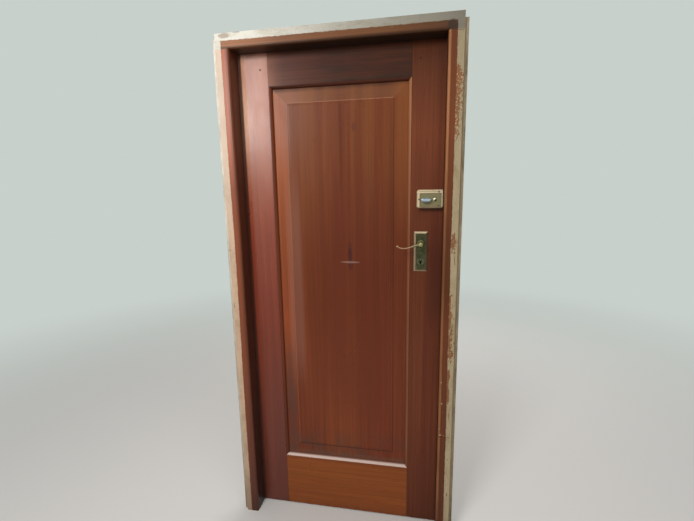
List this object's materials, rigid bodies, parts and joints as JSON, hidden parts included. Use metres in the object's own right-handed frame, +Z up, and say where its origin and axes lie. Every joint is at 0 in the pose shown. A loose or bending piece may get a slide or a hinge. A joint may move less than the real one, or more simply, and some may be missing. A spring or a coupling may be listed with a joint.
{
  "type": "panelled front door with frame",
  "caption": "Timber front door with one tall raised panel, lever lock and rim night latch, hung on butt hinges in a rebated, chipped cream frame.",
  "frame": {"origin": "on the floor, midway between the jambs, in the plane of the frame's front (room-side) face", "axes": "+X to the right seen from the room, +Y away from the room through the leaf, +Z up"},
  "size_m": [0.952, 0.173, 2.084],
  "materials": {
    "frame_wood": "aged cream paint chipped to the wood, with a varnished inner margin",
    "batten_wood": "rough grey timber",
    "door_wood": "old red-brown varnish",
    "panel_wood": "old red-brown varnish",
    "hinge_steel": "dull steel",
    "screw_steel": "dull steel",
    "plate_brass": "tarnished brass with worn bright edges",
    "lever_brass": "worn brass",
    "latch_paint": "cream-gold enamel",
    "latch_metal": "polished",
    "lock_iron": "dark",
    "bolt_steel": "bright steel",
    "spring_steel": "spring steel",
    "cylinder_brass": "satin brass"
  },
  "bodies": {
    "frame": {"left_jamb": "frame_wood", "right_jamb": "frame_wood", "head": "frame_wood", "left_batten": "batten_wood", "right_batten": "batten_wood", "top_hinge_frame_plate": "hinge_steel", "middle_hinge_frame_plate": "hinge_steel", "bottom_hinge_frame_plate": "hinge_steel", "top_hinge_pin": "hinge_steel", "middle_hinge_pin": "hinge_steel", "bottom_hinge_pin": "hinge_steel", "frame_hinge_screws": "screw_steel", "lock_strike": "plate_brass", "night_strike": "latch_paint", "strike_screws": "screw_steel"},
    "leaf": {"hinge_stile": "door_wood", "lock_stile": "door_wood", "top_rail": "door_wood", "bottom_rail": "door_wood", "panel": "panel_wood", "front_bead_left": "door_wood", "front_bead_right": "door_wood", "front_bead_top": "door_wood", "front_bead_bottom": "door_wood", "back_bead_left": "door_wood", "back_bead_right": "door_wood", "back_bead_top": "door_wood", "back_bead_bottom": "door_wood", "tenon_pegs": "door_wood", "top_hinge_leaf_plate": "hinge_steel", "middle_hinge_leaf_plate": "hinge_steel", "bottom_hinge_leaf_plate": "hinge_steel", "leaf_hinge_screws": "screw_steel", "lock_case": "lock_iron", "lock_cover": "lock_iron", "lock_forend": "plate_brass", "lock_levers": "bolt_steel", "lock_latch_spring": "spring_steel", "front_lock_plate": "plate_brass", "back_lock_plate": "plate_brass", "lock_screws": "screw_steel", "night_latch_base": "lock_iron", "night_latch_case": "latch_paint", "night_latch_spring": "spring_steel", "night_latch_screws": "screw_steel", "cylinder_body": "cylinder_brass", "cylinder_ring": "cylinder_brass", "cylinder_screws": "screw_steel"},
    "handles": {"front_lever": "lever_brass", "back_lever": "lever_brass", "spindle": "bolt_steel", "lock_follower": "lock_iron"},
    "latch": {"lock_latch_bolt": "bolt_steel"},
    "deadbolt": {"lock_dead_bolt": "bolt_steel"},
    "night_bolt": {"night_latch_bolt": "bolt_steel"},
    "night_knob": {"night_latch_knob": "latch_metal"},
    "night_snib": {"night_latch_snib": "latch_metal"},
    "key_plug": {"cylinder_plug": "cylinder_brass", "cylinder_tailbar": "bolt_steel"}
  },
  "joints": [
    {"name": "door_swing", "type": "hinge", "parent": "frame", "child": "leaf", "pos_m": [-0.4205, 0.1264, 1.0345], "axis": [0, 0, 1], "range_deg": [0, 120]},
    {"name": "handle_turn", "type": "hinge", "parent": "leaf", "child": "handles", "pos_m": [0.326, 0.097, 1.276], "axis": [0, -1, 0], "range_deg": [0, 40], "stiffness_Nm_per_rad": 1.5, "springref_deg": -11.46},
    {"name": "latch_slide", "type": "slide", "parent": "leaf", "child": "latch", "axis": [-1, 0, 0], "range_m": [0, 0.0116], "deforming": ["lock_latch_spring"]},
    {"name": "deadbolt_throw", "type": "slide", "parent": "leaf", "child": "deadbolt", "axis": [1, 0, 0], "range_m": [0, 0.014]},
    {"name": "night_knob_turn", "type": "hinge", "parent": "leaf", "child": "night_knob", "pos_m": [0.343, 0.04, 1.448], "axis": [0, -1, 0], "range_deg": [0, 45], "stiffness_Nm_per_rad": 0.3, "springref_deg": -17.19},
    {"name": "night_bolt_slide", "type": "slide", "parent": "leaf", "child": "night_bolt", "axis": [-1, 0, 0], "range_m": [0, 0.0141], "deforming": ["night_latch_spring"]},
    {"name": "snib_slide", "type": "slide", "parent": "leaf", "child": "night_snib", "axis": [0, 0, 1], "range_m": [0, 0.008]},
    {"name": "cylinder_turn", "type": "hinge", "parent": "leaf", "child": "key_plug", "pos_m": [0.343, 0.127, 1.448], "axis": [0, 1, 0], "range_deg": [-90, 90]}
  ],
  "couplings": [
    {"joint": "latch_slide", "follows": "handle_turn", "m_per_rad": 0.01645},
    {"joint": "night_bolt_slide", "follows": "night_knob_turn", "m_per_rad": 0.0178}
  ]
}
